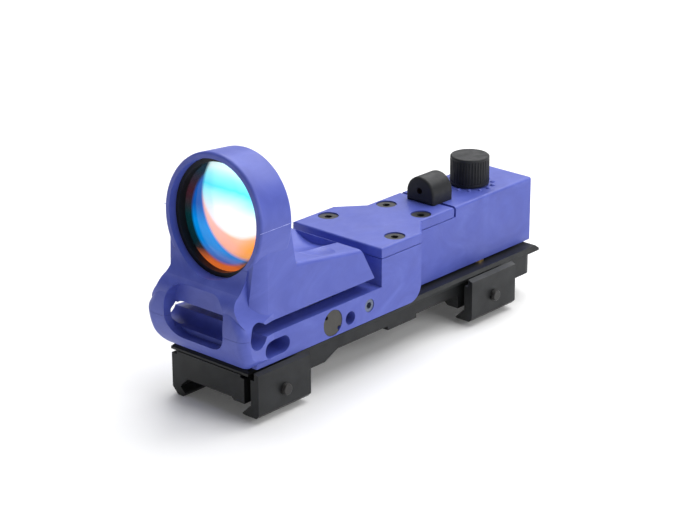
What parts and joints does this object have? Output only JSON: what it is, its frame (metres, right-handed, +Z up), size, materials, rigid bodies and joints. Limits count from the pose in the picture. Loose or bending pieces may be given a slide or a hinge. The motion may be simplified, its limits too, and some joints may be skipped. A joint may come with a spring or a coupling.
{
  "type": "open reflex red dot sight",
  "caption": "Open reflex red dot sight: tilted lens ring on an adjustable carrier, moulded frame with emitter hood and brightness knob, and a two-foot clamp mount for an accessory rail.",
  "frame": {"origin": "on the rail seat plane, midway between the two clamp feet and on the rail's centre line", "axes": "+X along the line of sight toward the target, +Y to the sight's left, +Z up"},
  "size_m": [0.1282, 0.0369, 0.0681],
  "materials": {
    "violet_polymer": "moulded, satin",
    "black_polymer": "moulded, fine texture",
    "black_anodised": "black anodised aluminium, satin",
    "black_steel": "black oxide",
    "bright_steel": "plain",
    "brass": "turned",
    "adjuster_alloy": "machined",
    "coated_glass": "red-reflecting coating",
    "seal_rubber": "matte",
    "circuit_laminate": "green solder mask",
    "switch_plastic": "moulded",
    "led_epoxy": "clear red epoxy"
  },
  "bodies": {
    "frame": {"base_frame": "violet_polymer", "battery_cell": "bright_steel", "battery_contact_minus": "bright_steel", "battery_contact_plus": "bright_steel", "body_inserts": "brass", "bottom_cover": "black_polymer", "bottom_cover_screws": "black_steel", "brass_spacers": "brass", "circuit_board": "circuit_laminate", "clamp_bar": "black_anodised", "cover_screws": "black_steel", "emitter_hood": "black_polymer", "emitter_led": "led_epoxy", "lock_set_screw": "bright_steel", "mount_plate": "black_anodised", "mount_screws": "black_steel", "rotary_switch_body": "switch_plastic", "switch_nut": "bright_steel", "top_cover": "violet_polymer"},
    "windage_block": {"adjuster_block": "adjuster_alloy"},
    "elevation_screw": {"elevation_screw": "black_steel"},
    "lens_carrier": {"lens_carrier": "violet_polymer", "lens": "coated_glass", "lens_retaining_ring": "black_anodised", "lens_seal": "seal_rubber", "carrier_insert": "brass"},
    "windage_adjuster": {"windage_adjuster": "black_steel", "windage_clip": "black_steel"},
    "block_lock_screw": {"block_lock_screw": "black_steel"},
    "knob": {"brightness_knob": "black_polymer", "knob_set_screw": "black_steel", "switch_shaft": "bright_steel"},
    "front_clamp_bolt": {"front_clamp_bolt": "black_steel"},
    "rear_clamp_bolt": {"rear_clamp_bolt": "black_steel"},
    "front_clamp_plate": {"front_clamp_plate": "black_anodised"},
    "rear_clamp_plate": {"rear_clamp_plate": "black_anodised"}
  },
  "joints": [
    {"name": "windage_adjuster_turn", "type": "hinge", "parent": "frame", "child": "windage_adjuster", "pos_m": [0.02265, 0, 0.0131], "axis": [0, 1, 0], "range_deg": [-592, 592]},
    {"name": "windage_yaw", "type": "hinge", "parent": "frame", "child": "windage_block", "pos_m": [0.0556, 0, 0.0131], "axis": [0, 0, 1], "range_deg": [-1, 1]},
    {"name": "elevation_screw_turn", "type": "hinge", "parent": "windage_block", "child": "elevation_screw", "pos_m": [0.018, -0.0065, 0.0143], "axis": [0, 0, 1], "range_deg": [-676, 676]},
    {"name": "lens_tilt", "type": "hinge", "parent": "windage_block", "child": "lens_carrier", "pos_m": [0.0556, 0, 0.0186], "axis": [0, 1, 0], "range_deg": [-1, 1]},
    {"name": "block_lock_screw_turn", "type": "hinge", "parent": "frame", "child": "block_lock_screw", "pos_m": [0.0158, 0.0114, 0.0124], "axis": [0, 1, 0], "range_deg": [0, 360]},
    {"name": "brightness_knob_turn", "type": "hinge", "parent": "frame", "child": "knob", "pos_m": [-0.05355, 0, 0.0328], "axis": [0, 0, 1], "range_deg": [0, 300]},
    {"name": "front_clamp_bolt_turn", "type": "hinge", "parent": "frame", "child": "front_clamp_bolt", "pos_m": [0.04305, -0.0131, 0.0018], "axis": [0, 1, 0], "range_deg": [0, 1585]},
    {"name": "rear_clamp_bolt_turn", "type": "hinge", "parent": "frame", "child": "rear_clamp_bolt", "pos_m": [-0.04305, -0.0131, 0.0018], "axis": [0, 1, 0], "range_deg": [0, 1585]},
    {"name": "front_clamp_slide", "type": "slide", "parent": "frame", "child": "front_clamp_plate", "axis": [0, -1, 0], "range_m": [0, 0.0022]},
    {"name": "rear_clamp_slide", "type": "slide", "parent": "frame", "child": "rear_clamp_plate", "axis": [0, -1, 0], "range_m": [0, 0.0022]}
  ],
  "couplings": [
    {"joint": "windage_adjuster_turn", "follows": "windage_yaw", "ratio": 591.51},
    {"joint": "elevation_screw_turn", "follows": "lens_tilt", "ratio": -674.99},
    {"joint": "front_clamp_bolt_turn", "follows": "front_clamp_slide", "rad_per_m": 12566},
    {"joint": "rear_clamp_bolt_turn", "follows": "rear_clamp_slide", "rad_per_m": 12566}
  ]
}
